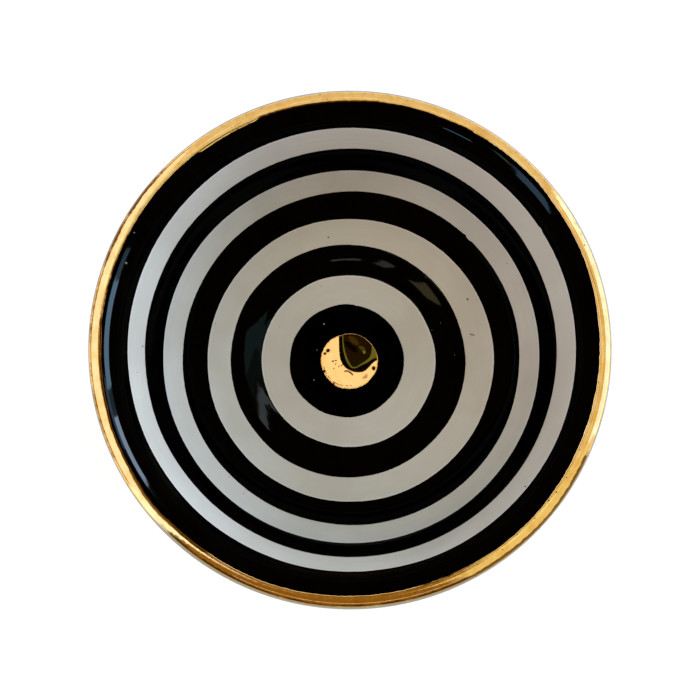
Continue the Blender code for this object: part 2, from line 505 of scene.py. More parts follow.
# Small marks fired into the glazes, in millimetres: right, away, size
WHITE_MARKS = (
    (24.53, 12.64, 0.27), (-4.56, 25.89, 0.22), (34.15, -27.56, 0.20), (25.10, 5.35, 0.20),
    (25.45, 5.25, 0.22), (25.80, 5.15, 0.20), (-6.04, 15.79, 0.13), (32.06, 18.68, 0.14),
    (-24.53, -24.82, 0.15), (-21.53, -28.19, 0.13), (-41.34, 0.63, 0.17), (-42.13, -4.84, 0.11),
    (-27.96, 7.39, 0.13), (-14.78, 7.15, 0.10),
)
BLACK_DUST = (
    (-43.94, 16.08, 0.24), (-42.42, 22.05, 0.17), (-5.46, 7.86, 0.24), (-7.53, -3.98, 0.18),
    (-6.92, 2.36, 0.14), (17.17, 6.46, 0.11), (18.97, 7.95, 0.10), (21.85, 1.18, 0.11),
    (15.93, 17.58, 0.10),
)


def white_glaze():
    material, tree, place = new_material("white_glaze", IOR=1.5)
    cloud = remap(tree, noise(tree, place, 55, 3, 0.55), 0.35, 0.65)
    brush = noise(tree, round_axis(tree, place, 1.6, 950), 1.0, 3, 0.6)
    speck = spots(tree, place, 330, 0.050, 0.020)
    body = blend(tree, cloud, (0.535, 0.510, 0.455), (0.590, 0.570, 0.520))
    brushed = remap(tree, brush, 0.35, 0.70, 0.0, 0.22)
    body = blend(tree, brushed, body, (0.500, 0.475, 0.420))
    pooled = maths(tree, "MULTIPLY", read_values(tree, "edge"), 0.5)
    body = blend(tree, pooled, body, (0.74, 0.74, 0.75))
    # painted shade: a dark grey line on the white just below the gold's outer edge
    body = blend(tree, read_values(tree, "halo"), body, (0.20, 0.185, 0.165))
    body = blend(tree, speck, body, (0.10, 0.075, 0.05))
    body = blend(tree, marks(tree, place, WHITE_MARKS), body, (0.030, 0.018, 0.010))
    sheen = remap(tree, noise(tree, place, 160), 0.3, 0.7, 0.16, 0.26)
    skin = bump(tree, noise(tree, place, 420), 0.00002)
    skin = bump(tree, speck, 0.00003, 0.6, skin)
    return finish_material(material, body, sheen, skin)


def black_glaze():
    material, tree, place = new_material("black_glaze", IOR=1.10)
    pool = remap(tree, noise(tree, place, 120, 3, 0.6), 0.35, 0.70)
    dust = spots(tree, place, 420, 0.040, 0.006)
    body = blend(tree, pool, (0.00005, 0.00005, 0.0001), (0.0006, 0.0005, 0.0005))
    body = blend(tree, dust, body, (0.06, 0.06, 0.06))
    body = blend(tree, marks(tree, place, BLACK_DUST), body, (0.22, 0.22, 0.22))
    sheen = remap(tree, noise(tree, place, 220), 0.3, 0.7, 0.025, 0.055)
    stroke = noise(tree, round_axis(tree, place, 2.2, 1400), 1.0)
    skin = bump(tree, stroke, 0.000003)
    skin = bump(tree, noise(tree, place, 300), 0.000008, 1.0, skin)
    return finish_material(material, body, sheen, skin)


def worn_and_shaded_share(tree, grain):
    """How much of the lustre is thin or gone, with painted reflection where it is darkened for what
    it mirrors, from the values the mesh holds, broken up by grain.
    """
    broken = maths(tree, "MULTIPLY", maths(tree, "SUBTRACT", grain, 0.5), 1.1)
    return remap(tree, maths(tree, "ADD", read_values(tree, "thin"), broken), 0.20, 0.75)


def gold_lustre():
    material, tree, place = new_material("gold_lustre", Metallic=1.0)
    grain = noise(tree, place, 900, 4, 0.65)
    cloud = remap(tree, noise(tree, place, 320, 4, 0.65), 0.38, 0.66)
    body = blend(tree, cloud, (0.970, 0.610, 0.200), (0.880, 0.500, 0.130))
    # dark brown where the lustre is thin, and painted reflection where the lip is darkened for what
    # it mirrors
    body = blend(tree, worn_and_shaded_share(tree, grain), body, (0.200, 0.082, 0.008))
    # painted reflection: the outer gold edge on the near side dulled to olive, partly the lustre
    # thinning out
    body = blend(tree, read_values(tree, "veil"), body, (0.38, 0.31, 0.16))
    sheen = remap(tree, grain, 0.3, 0.7, 0.06, 0.14)
    skin = bump(tree, noise(tree, place, 1100, 3, 0.6), 0.00001)
    return finish_material(material, body, sheen, skin)


def gold_dot_lustre():
    material, tree, place = new_material("gold_dot_lustre", Metallic=1.0)
    grain = noise(tree, place, 1500, 3, 0.6)
    cloud = remap(tree, noise(tree, place, 900, 3, 0.6), 0.40, 0.70)
    body = blend(tree, cloud, (0.970, 0.630, 0.210), (0.930, 0.570, 0.165))
    body = blend(tree, worn_and_shaded_share(tree, grain), body, (0.060, 0.028, 0.004))
    sheen = remap(tree, grain, 0.3, 0.7, 0.004, 0.012)
    return finish_material(material, body, sheen)


def bare_clay():
    material, tree, place = new_material("bare_clay", IOR=1.45)
    cloud = remap(tree, noise(tree, place, 90, 4, 0.6), 0.35, 0.65)
    grog = spots(tree, place, 1300, 0.28, 0.30)
    dark = spots(tree, place, 900, 0.16, 0.10)
    body = blend(tree, cloud, (0.52, 0.33, 0.215), (0.60, 0.41, 0.285))
    body = blend(tree, maths(tree, "MULTIPLY", grog, 0.5), body, (0.72, 0.56, 0.43))
    body = blend(tree, maths(tree, "MULTIPLY", dark, 0.7), body, (0.20, 0.12, 0.08))
    sheen = remap(tree, noise(tree, place, 700), 0.3, 0.7, 0.78, 0.95)
    turning = noise(tree, round_axis(tree, place, 3.0, 2600), 1.0)
    skin = bump(tree, turning, 0.00006)
    skin = bump(tree, noise(tree, place, 2600, 3, 0.6), 0.00004, 1.0, skin)
    return finish_material(material, body, sheen, skin)


# Pieces of the dish

FIRST_EDGE_SEED = 10


def painted_edges():
    """Every edge of the black paint by name, each with its own waver."""
    edges = {"rim_end": GOLD_START + BLACK_UNDER_GOLD}
    for index, (name, (share, right, away)) in enumerate(PAINTED_EDGES.items()):
        place = (share * LIP_TOP, right, away, FIRST_EDGE_SEED + index)
        edges[name] = painted_edge(BAND_COLUMNS, *place, slips=SLIPS.get(name, ()))
    return edges


BANDS = ("inner", "middle", "outer", "rim")
EDGES = painted_edges()

# The gold rim's edges: distance, how far off centre, seed, waver, fray, slips
GOLD_EDGES = (
    (GOLD_START, 0.0, -0.00006, 31, 0.00008, 0.000025, GOLD_SLIPS),
    (GOLD_END - 0.00005, 0.0, -0.00018, 32, 0.00008, 0.00004),
)


def add_black_bands(material):
    for name in BANDS:
        ends = (EDGES[name + "_start"], EDGES[name + "_end"])
        points, _ = band_points(*ends, PAINT_PROUD, PAINT_FEATHER, BAND_COLUMNS)
        node = "black_%s_band" % name
        add_piece("paint_" + node, points, material, node, "black_glaze", capped=False)


DISC_TOP_SHARES = (0.0, 0.02, 0.06, 0.12, 0.20, 0.30, 0.40, 0.50, 0.60, 0.70, 0.80, 0.90)
DISC_BASE_SHARES = (1.0, 0.8, 0.5, 0.2, 0.0)


def add_centre_disc(material):
    end = EDGES["disc"]
    top = [(end - PAINT_FEATHER) * share for share in DISC_TOP_SHARES]
    rows = at_depth(top, -PAINT_PROUD) + feathered_edge(end, -PAINT_FEATHER, PAINT_PROUD)[::-1]
    rows += at_depth([end * share for share in DISC_BASE_SHARES], PAINT_DEPTH)
    points = spin(SHELL, *stack_rows(rows, BAND_COLUMNS))
    add_piece("paint_black_centre_disc", points, material, "black_centre_disc", "black_glaze")


# How far apart the rows of the white coat are, and its stretches outside: start, end, spacing
SEAT_SPACING = 0.0012
LAND_SPACING = 0.0006
LIP_SPACING = 0.0004
OUTER_STRETCHES = (
    (LIP_END + 0.0006, GLAZE_END - 0.0045, 0.0010),
    (GLAZE_END - 0.0040, GLAZE_END - 0.0009, 0.0005),
)
BASE_ROWS = 60
BASE_TURN = 0.0060

# Where the glaze pools against the paint, and the painted shade below the gold: a dark grey line on
# the white where the outer wall turns down from the lip
POOL_STEP = 0.00014
POOL_REACH = 0.00036
POOL_END = 0.00005
RIM_SHADE_START = GOLD_OUTER_REACH - 0.0006
RIM_SHADE_END = GOLD_OUTER_REACH + 0.0011
RIM_SHADE_STRENGTH = 0.90

# The wiped edges of the glaze above the bare foot, outside and in the well
COAT_WAVER = 0.00022
WELL_WAVER = 0.00015
WELL_EDGE = 0.0006
COAT_BASE_GAP = 0.0002
COAT_BASE_NEXT = 0.0020
WELL_BASE_GAP = 0.0001
GLAZE_ROLL = GLAZE_THICKNESS / 2


def land_rows(start, end, spacing):
    """Rows along the open surface between two seats, closer together at the outer edge."""
    return [*run_rows(start, end, spacing)[:-1], end - 2 * POOL_STEP, end - POOL_STEP, end]


def rolled_rows(edge):
    """Rows round the wiped edge of a glaze, from its surface to half its thickness."""
    return [
        (edge - GLAZE_ROLL + GLAZE_ROLL * sine, GLAZE_ROLL * (1 - cosine))
        for sine, cosine in quarter_turn(7)
    ]


def coat_rows(seats, edge):
    """Rows of the white coat over its seats and the lip, round its edge and back under it."""
    rows = at_depth(run_rows(*seats[0], SEAT_SPACING), SEAT_DEPTH)
    for (_, start), seat in zip(seats, seats[1:]):
        rows += at_depth(land_rows(start, seat[0], LAND_SPACING), 0.0)
        rows += at_depth(run_rows(*seat, SEAT_SPACING), SEAT_DEPTH)
    for stretch in ((seats[-1][1], LIP_END, LIP_SPACING), *OUTER_STRETCHES):
        rows += at_depth(land_rows(*stretch), 0.0)
    turn = SHELL.length - BASE_TURN
    under = [turn - row * turn / BASE_ROWS for row in range(BASE_ROWS)]
    base = [edge - COAT_BASE_GAP, GLAZE_END - COAT_BASE_NEXT, *under, 0.0]
    return rows + rolled_rows(edge) + at_depth(base, GLAZE_THICKNESS)


def add_glaze_coat(material):
    """The white coat inside, over the lip and outside, with a seat under each painted band."""
    seats = [(0.0, EDGES["disc"] + SEAT_SLOT)]
    for name in BANDS:
        seats.append((EDGES[name + "_start"] - SEAT_SLOT, EDGES[name + "_end"] + SEAT_SLOT))
    waver = COAT_WAVER * ring_noise(ring_angles(BAND_COLUMNS), 51, 2, 9, 0.6)
    along, depth = stack_rows(coat_rows(seats, GLAZE_END + waver), BAND_COLUMNS)
    pool = np.zeros(along.shape)
    for start, _ in seats[1:]:
        near = smooth_step(start - POOL_REACH, start - POOL_END, along)
        pool = np.maximum(pool, near * (along <= start))
    beyond = along - LIP_TOP
    # painted shade, strongest at the gold's outer edge and fading down the outer wall
    halo = smooth_step(RIM_SHADE_START, GOLD_OUTER_REACH, beyond)
    halo = halo * (1 - smooth_step(GOLD_OUTER_REACH, RIM_SHADE_END, beyond))
    values = {"edge": pool * (depth == 0), "halo": RIM_SHADE_STRENGTH * halo}
    points = spin(SHELL, along, depth)
    add_piece("glaze_white_coat", points, material, "white_glaze_coat", "white_glaze", **values)


def add_footwell_glaze(material):
    waver = WELL_WAVER * ring_noise(ring_angles(FOOT_COLUMNS), 52, 2, 9, 0.6)
    end = WELL.length - BARE_FOOT_HEIGHT + waver
    across = list(np.linspace(0.0, 1.0, 40) * (float(end.min()) - WELL_EDGE))
    rows = at_depth([*across, end - WELL_BASE_GAP], GLAZE_THICKNESS)
    rows += rolled_rows(end)[::-1] + at_depth(across[::-1], 0.0)
    points = spin(WELL, *stack_rows(rows, FOOT_COLUMNS), rough=False)
    add_piece("glaze_footwell", points, material, "footwell_glaze", "white_glaze")


def clay_side(path, count, rough):
    """One side of the clay: deep under the glaze, then out to a bare foot with a worn edge."""
    bare_start = path.length - BARE_FOOT_HEIGHT + CLAY_STEP
    bare_end = path.length - FOOT_CHAMFER
    rise = CLAY_DEPTH - BARE_DEPTH
    rows = at_depth(np.linspace(0.0, bare_start, count), CLAY_DEPTH)
    for sine, cosine in quarter_turn(5):
        rows.append((bare_start + CLAY_STEP * (1 - cosine), CLAY_DEPTH - rise * sine))
    for sine, cosine in quarter_turn(6):
        rows.append((bare_end + FOOT_CHAMFER * sine, BARE_DEPTH + FOOT_CHAMFER * (1 - cosine)))
    return spin(path, *stack_rows(rows, FOOT_COLUMNS), rough)


def add_clay_body(material):
    sides = (clay_side(SHELL, 80, rough=True), clay_side(WELL, 40, rough=False)[::-1])
    add_piece("clay_bowl", np.concatenate(sides), material, "clay_body", "clay")


# Places on the gold rim where the lustre is made thin and dark: start and end in degrees, strength,
# and reach from the outer or the inner edge. The outside ones are partly thin lustre and partly
# painted reflection, darkening the lip's outer slope where it mirrors the floor, most on the left and
# near sides
THIN_AND_SHADED_OUTSIDE = (
    (20, 136, 0.26, 0.00090),
    (136, 162, 0.85, 0.00100),
    (162, 209, 0.45, 0.00092),
    (224, 290, 0.85, 0.00110),
    (286, 334, 1.25, 0.00108),
)
THIN_INSIDE = (
    (60, 84, 0.95, 0.00026),
    (82, 112, 1.10, 0.00034),
    (112, 130, 0.45, 0.00022),
    (150, 176, 0.60, 0.00030),
    (174, 213, 1.25, 0.00042),
    (211, 236, 1.35, 0.00060),
    (286, 300, 0.60, 0.00022),
)
# Where a veil of lustre runs out over the white, painted dull olive as reflection of the floor it
# mirrors: start and end in degrees, and reach
VEILS_AND_SHADE = (
    (222, 296, 0.00075),
    (292, 345, 0.00040),
)
# Small flecks in the gold: degrees, distance from the inner edge, size
FLECKS = (
    (23.0, 0.00120, 0.00016), (243.0, 0.00160, 0.00018), (246.5, 0.00175, 0.00014),
    (262.0, 0.00150, 0.00012), (284.5, 0.00100, 0.00012), (290.0, 0.00035, 0.00012),
    (296.0, 0.00030, 0.00014), (306.3, 0.00075, 0.00014), (311.0, 0.00030, 0.00010),
    (316.3, 0.00045, 0.00013), (321.4, 0.00035, 0.00015), (324.0, 0.00060, 0.00015),
    (328.0, 0.00070, 0.00010), (335.0, 0.00045, 0.00012), (351.0, 0.00030, 0.00010),
)
EDGE_THINNESS = 0.60
EDGE_THIN_REACH = 0.00010
FLECK_STRENGTH = 1.3
VEIL_AND_SHADE_STRENGTH = 0.9
GOLD_SPACING = 0.00014


def rim_thinness_and_shade(angles, start, end, along):
    """Thin lustre at the edges, in patches and at the flecks, with painted reflection in the outside
    patches, for rows by columns of points.
    """
    inner, outer = along - start, end - along
    thin = EDGE_THINNESS * (1 - smooth_step(0.0, EDGE_THIN_REACH, np.minimum(inner, outer)))
    patchy = 0.93 + 0.14 * ring_noise(angles, 61, 8, 60, 0.3)
    # painted reflection: the outer slope made darker where it mirrors the floor, partly thin lustre
    for first, last, strength, deep in THIN_AND_SHADED_OUTSIDE:
        reach = 1 - smooth_step(0.7 * deep, 1.3 * deep, outer)
        thin = np.maximum(thin, strength * reach * patchy * within(angles, first, last, 10.0))
    for first, last, strength, deep in THIN_INSIDE:
        reach = 1 - smooth_step(0.8 * deep, 1.2 * deep, inner)
        thin = np.maximum(thin, strength * reach * patchy * within(angles, first, last))
    radius = SHELL.read(np.array([LIP_TOP]))[0][0]
    for place, distance, size in FLECKS:
        around = radius * ((angles - math.radians(place) + math.pi) % (2 * math.pi) - math.pi)
        spread = np.hypot(around, 1.3 * (inner - distance))
        fleck = 1 - smooth_step(0.6 * size, 1.5 * size, spread)
        thin = np.maximum(thin, FLECK_STRENGTH * fleck)
    return thin


def rim_veil_and_shade(angles, end, along):
    """How far the lustre fades to a dull olive veil at its outer edge, partly thin lustre and partly
    painted reflection, for rows by columns of points.
    """
    veil = np.zeros(along.shape)
    for first, last, deep in VEILS_AND_SHADE:
        reach = 1 - smooth_step(0.7 * deep, 1.2 * deep, end - along)
        veil = np.maximum(veil, reach * within(angles, first, last, 8.0))
    return VEIL_AND_SHADE_STRENGTH * veil


def add_gold_rim(material):
    angles = ring_angles(GOLD_COLUMNS)
    start, end = (painted_edge(GOLD_COLUMNS, *edge) for edge in GOLD_EDGES)
    size = (GOLD_PROUD, GOLD_FEATHER, GOLD_COLUMNS, GOLD_SPACING)
    points, along = band_points(start, end, *size)
    thin = rim_thinness_and_shade(angles, start, end, along)
    values = {"thin": thin, "veil": rim_veil_and_shade(angles, end, along)}
    name = "lustre_gold_rim"
    add_piece(name, points, material, "gold_rim_band", "gold_lustre", capped=False, **values)


DOT_PLACE = (-0.00012, 0.00006)
DOT_SHRINK = 0.00010
DOT_EDGE_REACH = 0.00010
DOT_LIFT = 0.00003
PIT_DEPTH = 0.00003
DOT_WAVER = 0.00005
DOT_FRAY = 0.00002
DOT_EDGE_STEPS = (0.25, 0.5, 0.75, 0.92, 1.0)
DOT_BASE_SHARES = (1.0, 0.6, 0.3, 0.0)
SMUDGE_PLACE = (0.00315, -0.00335)
SMUDGE_REACH = (0.0001, 0.0011)
# Strengths of the worn places on the dot
SMUDGE_WEAR = 0.50
LINE_WEAR = 0.90
PIT_WEAR = 1.3

# Pits and worn places on the dot, in millimetres: right, away, size
DOT_PITS = (
    (-4.61, 2.24, 0.28), (-5.24, 1.61, 0.20), (-3.56, 0.00, 0.12), (-2.94, 0.15, 0.10),
    (-3.00, -0.60, 0.08), (-3.35, -1.50, 0.07), (-5.45, -2.16, 0.26), (-3.42, -4.78, 0.18),
    (5.00, -1.53, 0.30), (-1.05, -2.10, 0.09), (-0.84, -2.04, 0.09), (-0.62, -2.05, 0.09),
    (-0.40, -2.10, 0.09), (-0.20, -2.22, 0.09), (0.02, -2.36, 0.10), (0.22, -2.52, 0.10),
    (0.42, -2.70, 0.10), (0.58, -2.86, 0.08), (-1.70, -0.85, 0.10), (-2.30, -1.05, 0.08),
)


def dot_pits(points):
    """How deep each point lies in one of the pits, from 0 to 1."""
    pits = np.zeros(points.shape[:2])
    for right, away, size in MM * np.array(DOT_PITS):
        spread = np.hypot(points[..., 0] - right, points[..., 1] - away)
        pits = np.maximum(pits, 1 - smooth_step(0.7 * size, 1.5 * size, spread))
    return pits


def dot_wear_and_shade(points, edge_share, angles):
    """How worn the dot is at each point: its pits, a smudge and lines along its edge, and its upper
    edge darkened as painted reflection.
    """
    right = points[..., 0] - SMUDGE_PLACE[0]
    away = points[..., 1] - SMUDGE_PLACE[1]
    spread = np.hypot((right + away) / 2.4, right - away)
    worn = SMUDGE_WEAR * (1 - smooth_step(*SMUDGE_REACH, spread))
    deep = 0.93 - 0.035 * within(angles, 245, 290, 30)
    line = smooth_step(0.018, 0.006, np.abs(edge_share - deep))
    line = line * (0.8 + 0.3 * ring_noise(angles, 43, 5, 40, 0.3))
    worn = np.maximum(worn, LINE_WEAR * line * within(angles, 185, 285, 20))
    # painted reflection: the dot's edge darkened on its upper side only
    top = smooth_step(0.975, 0.990, edge_share) * within(angles, 12, 112, 14)
    return np.maximum(worn, np.maximum(top, PIT_WEAR * dot_pits(points)))


def add_gold_dot(material):
    angles = ring_angles(DOT_COLUMNS)
    edge = DOT_RADIUS - DOT_SHRINK
    edge = edge + DOT_PLACE[0] * np.cos(angles) + DOT_PLACE[1] * np.sin(angles)
    edge = edge + DOT_WAVER * ring_noise(angles, 41, 2, 12, 0.8)
    edge = edge + DOT_FRAY * ring_noise(angles, 42, 20, 90, 0.4)
    flat = 1 - DOT_EDGE_REACH / DOT_RADIUS
    rows = at_depth([edge * share for share in np.linspace(0.0, flat, 72)], -PAINT_PROUD - DOT_LIFT)
    for step in DOT_EDGE_STEPS:
        depth = -PAINT_PROUD - DOT_LIFT * math.cos(math.pi / 2 * step)
        rows.append((edge * (flat + (1 - flat) * step), depth))
    tops = len(rows)
    rows += at_depth([edge * share for share in DOT_BASE_SHARES], PAINT_PROUD)
    along, depth = stack_rows(rows, DOT_COLUMNS)
    points = spin(SHELL, along, depth)
    worn = dot_wear_and_shade(points, along / edge, angles)
    top = np.arange(len(along))[:, None] < tops
    pits = dot_pits(points) * top * (along / edge < flat)
    points = spin(SHELL, along, depth + PIT_DEPTH * pits)
    name = "lustre_gold_dot"
    add_piece(name, points, material, "gold_centre_dot", "gold_lustre", thin=worn)


def build_dish():
    white = white_glaze()
    black = black_glaze()
    add_clay_body(bare_clay())
    add_glaze_coat(white)
    add_footwell_glaze(white)
    add_black_bands(black)
    add_centre_disc(black)
    add_gold_rim(gold_lustre())
    add_gold_dot(gold_dot_lustre())


# Floor, world, lamps and camera

FLOOR_RADII = (0.0207, 0.05, 0.10, 0.2, 0.5, 1.5, 12.0)
FLOOR_COLUMNS = 128
FLOOR_SOFT = (0.25, 0.25, 0.25)
FLOOR_GLOW = 0.86
FLOOR_PLAIN = (0.60, 0.60, 0.60)
WORLD_SOFT = (0.12, 0.12, 0.12)
ROOM_GLOSS = (0.28, 0.16, 0.025)
HORIZON = 0.05
WHITE = (1.0, 1.0, 1.0)


def add_floor():
    """A pale floor, open under the foot ring, that is white to the camera and keeps the shadow."""
    angles = ring_angles(FLOOR_COLUMNS)
    ring = np.stack([np.cos(angles), np.sin(angles), np.zeros(FLOOR_COLUMNS)], -1)
    points = (np.array(FLOOR_RADII)[:, None, None] * ring).reshape(-1, 3)
    index = np.arange(len(points)).reshape(-1, FLOOR_COLUMNS)
    beside = np.roll(index, -1, 1)
    faces = np.stack([index[:-1], index[1:], beside[1:], beside[:-1]], -1).reshape(-1, 4)
    mesh = bpy.data.meshes.new("floor")
    mesh.from_pydata(points.tolist(), [], faces.tolist())
    floor = add_object("floor", mesh)
    mesh.materials.append(floor_material())


def empty_tree(owner):
    owner.use_nodes = True
    owner.node_tree.nodes.clear()
    return owner.node_tree


def link_output(tree, kind, surface):
    tree.links.new(surface, node(tree, "Output" + kind).inputs["Surface"])


def ray_kinds(tree):
    """1 for the rays from the camera, and 1 for those that a surface mirrors or lets through."""
    path = node(tree, "LightPath").outputs
    shiny = maths(tree, "MAXIMUM", path["Is Glossy Ray"], path["Is Transmission Ray"])
    return path["Is Camera Ray"], shiny


def floor_material():
    material = bpy.data.materials.new("floor_pale")
    tree = empty_tree(material)
    soft = node(tree, "BsdfDiffuse", {"Color": (*FLOOR_SOFT, 1.0)}).outputs[0]
    glow = {"Color": (*WHITE, 1.0), "Strength": FLOOR_GLOW}
    bright = node(tree, "AddShader", {0: soft, 1: node(tree, "Emission", glow).outputs[0]}).outputs[0]
    plain = node(tree, "BsdfDiffuse", {"Color": (*FLOOR_PLAIN, 1.0)}).outputs[0]
    white = maths(tree, "MAXIMUM", *ray_kinds(tree))
    shade = node(tree, "MixShader", {0: white, 1: plain, 2: bright}).outputs[0]
    below = node(tree, "NewGeometry").outputs["Backfacing"]
    clear = node(tree, "BsdfTransparent").outputs[0]
    seen = node(tree, "MixShader", {0: below, 1: shade, 2: clear}).outputs[0]
    link_output(tree, "Material", seen)
    return material


def set_world():
    """Soft even light, a dim warm room where polished surfaces mirror it, and white at the floor."""
    world = bpy.data.worlds.new("studio")
    bpy.context.scene.world = world
    tree = empty_tree(world)
    up = node(tree, "SeparateXYZ", {0: node(tree, "TexCoord").outputs["Generated"]}).outputs["Z"]
    low = maths(tree, "LESS_THAN", up, HORIZON)
    seen, shiny = ray_kinds(tree)
    white = maths(tree, "MAXIMUM", seen, maths(tree, "MULTIPLY", shiny, low))
    light = blend(tree, white, blend(tree, shiny, WORLD_SOFT, ROOM_GLOSS), WHITE)
    background = node(tree, "Background", {"Color": light, "Strength": 1.0})
    link_output(tree, "World", background.outputs[0])


def receivers(name, words):
    """A collection of the pieces whose names start with these words, for lamps meant for them."""
    found = bpy.data.collections.new(name)
    for obj in bpy.context.scene.objects:
        if obj.name.startswith(words):
            found.objects.link(obj)
    return found


def add_lamp(name, place, aim, size, colour, soft=True, gloss=True, only=None):
    """A rectangular lamp whose colour is its radiance, and which the camera doesn't see."""
    width, height = size
    lamp = bpy.data.lights.new(name, "AREA")
    lamp.shape = "RECTANGLE"
    lamp.size = width
    lamp.size_y = height
    lamp.color = colour
    lamp.energy = math.pi * width * height
    obj = add_object(name, lamp)
    obj.location = place
    direction = Vector(aim) - Vector(place)
    obj.rotation_euler = direction.to_track_quat("-Z", "Y").to_euler()
    obj.visible_camera = False
    obj.visible_diffuse = soft
    obj.visible_glossy = gloss
    if only:
        obj.light_linking.receiver_collection = only
    return obj


LIP_HEIGHT = 0.0347
ROOM_DISTANCE = 1.2

# Soft daylight: name, azimuths, elevations, colour at its full strength
SOFT_WINDOWS = (
    ("right_low", (-22, 22), (3, 20), (7.0, 8.3, 10.5)),
    ("right_far_low", (23, 67), (3, 20), (5.1, 5.4, 6.0)),
    ("right_far_high", (23, 67), (25, 50), (1.1, 2.4, 3.5)),
    ("left_low", (158, 202), (3, 20), (2.8, 2.8, 3.0)),
    ("left_high", (158, 202), (25, 50), (1.2, 1.15, 1.2)),
    ("left_near_low", (203, 247), (3, 20), (2.2, 2.0, 2.5)),
)
OVERHEAD = (1.60, 1.34, 0.98)
OVERHEAD_PLACE = (0, 0, 1.6)
OVERHEAD_SIZE = (1.8, 1.8)

# Window panes that the black glaze mirrors: azimuths, elevations, lean, colour at full strength
PANES = (
    ("right_start", (-8, 0), (50, 67), -7, (8, 15, 22)),
    ("right_wide", (0, 26.3), (47.4, 67.6), -7, (34, 57, 82)),
    ("right_gap", (26.3, 32.7), (48.5, 67), -7, (4, 7, 9)),
    ("right_narrow", (32.7, 48.2), (50, 66), -7, (74, 97, 128)),
    ("right_edge", (32.7, 47.5), (66, 74), -7, (12, 18, 29)),
    ("left_wide", (197.5, 212), (52, 75), 4, (10, 17, 26)),
    ("left_tail", (212, 216.5), (69, 75), 0, (15, 19, 20)),
    ("left_thin", (232, 241), (55, 57.5), 0, (19, 40, 56)),
)
INNER_BAND_PANES = (
    ("right_tall", (8, 32.5), (71.5, 79), 0, (1.8, 3.8, 3.8)),
    ("right_dim", (32.5, 43), (71.5, 79), 0, (0.7, 1.5, 1.3)),
    ("right_short", (47, 54.5), (66, 78), 0, (13.5, 16.0, 16.5)),
    ("left", (193, 210), (71.5, 79), 0, (12.5, 10.5, 5.0)),
    ("near_wide", (259, 289), (79.3, 81.1), 0, (14.0, 13.0, 14.5)),
    ("near_short", (230, 242), (75, 81), 0, (9.5, 9.5, 10.5)),
)
WHITE_PANES = (
    ("right", (0, 50), (49, 72), 0, (0.8, 1.0, 1.3)),
    ("left", (197.5, 212), (52, 75), 0, (0.5, 0.6, 0.7)),
)
PANE_DISTANCE = 0.6

# Bright sheets round the dish that the gold lip mirrors, over the dim warm room
GOLD_SHEETS = (
    ("far", (34, 125), (2, 70), (0.54, 0.65, 0.78)),
    ("near_line", (240, 300), (35, 37.5), (0.95, 1.25, 2.20)),
    ("left", (125, 207), (11, 84), (1.02, 1.22, 2.00)),
    ("left_near", (207, 221), (-20, 84), (0.97, 1.55, 2.85)),
    ("right_near", (300, 346), (2, 84), (0.60, 0.72, 0.65)),
    ("right_low", (346, 402), (-10, 46), (1.00, 1.50, 3.20)),
    ("right_high", (346, 394), (48, 72), (0.56, 0.60, 0.42)),
    ("right_upper", (346, 394), (72, 84.5), (0.62, 0.76, 0.95)),
)
DOT_SHEETS = (("around", (112, 372), (12, 78), (1.00, 1.02, 1.00)),)

# Level sheets over the rim: azimuths, radii, colour
LEVEL_SHEETS = (
    ("far", (34, 125), (0.052, 0.107), (0.54, 0.65, 0.78)),
    ("left_far", (125, 134), (0.050, 0.104), (0.60, 0.77, 1.02)),
    ("left", (134, 152), (0.050, 0.086), (0.60, 0.77, 1.02)),
    ("right", (2, 34), (0.034, 0.063), (0.64, 0.80, 1.05)),
    ("right_outer", (10, 34), (0.063, 0.080), (0.64, 0.80, 1.05)),
    ("right_near", (-45, 2), (0.024, 0.063), (0.60, 0.72, 0.65)),
)
LEVEL_HEIGHT = 0.185
WIDEST_LEVEL_SHEET = 16
SHEET_DISTANCE = 0.4
WIDEST_SHEET = 30


def window(name, azimuths, elevations, distance, colour, lean=0, **settings):
    """An upright lamp that fills a range of azimuths and elevations, seen from the lip."""
    middle = math.radians(sum(azimuths) / 2)
    width = 2 * distance * math.tan(math.radians(azimuths[1] - azimuths[0]) / 2)
    low, high = (LIP_HEIGHT + distance * math.tan(math.radians(turn)) for turn in elevations)
    place = (distance * math.cos(middle), distance * math.sin(middle), (low + high) / 2)
    aim = (0.0, 0.0, place[2])
    lamp = add_lamp(name, place, aim, (width, high - low), colour, **settings)
    lamp.rotation_euler.rotate_axis("Z", math.radians(lean))
    return lamp


def add_panes(prefix, panes, only):
    for name, azimuths, elevations, lean, colour in panes:
        pane = (prefix + name, azimuths, elevations, PANE_DISTANCE, colour, lean)
        window(*pane, soft=False, only=only)


def add_sheets(prefix, sheets, only):
    """Flat sheets round the dish, each no wider than WIDEST_SHEET degrees."""
    for name, (start, end), elevations, colour in sheets:
        count = math.ceil((end - start) / WIDEST_SHEET)
        width = (end - start) / count
        for index in range(count):
            part = (start + index * width, start + (index + 1) * width)
            full = "%s_%s_%d" % (prefix, name, index)
            window(full, part, elevations, SHEET_DISTANCE, colour, soft=False, only=only)


def add_level_sheets(only):
    """Level sheets that face down, side by side over the rim."""
    for name, (start, end), (inner, outer), colour in LEVEL_SHEETS:
        count = math.ceil((end - start) / WIDEST_LEVEL_SHEET)
        step = math.radians(end - start) / count
        middle = (inner + outer) / 2
        size = (outer - inner, 2 * middle * math.tan(step / 2))
        for index in range(count):
            turn = math.radians(start) + (index + 0.5) * step
            place = (middle * math.cos(turn), middle * math.sin(turn))
            ends = ((*place, LEVEL_HEIGHT), (*place, 0.0))
            full = "gold_level_%s_%d" % (name, index)
            lamp = add_lamp(full, *ends, size, colour, soft=False, only=only)
            lamp.rotation_euler = (0.0, 0.0, turn)


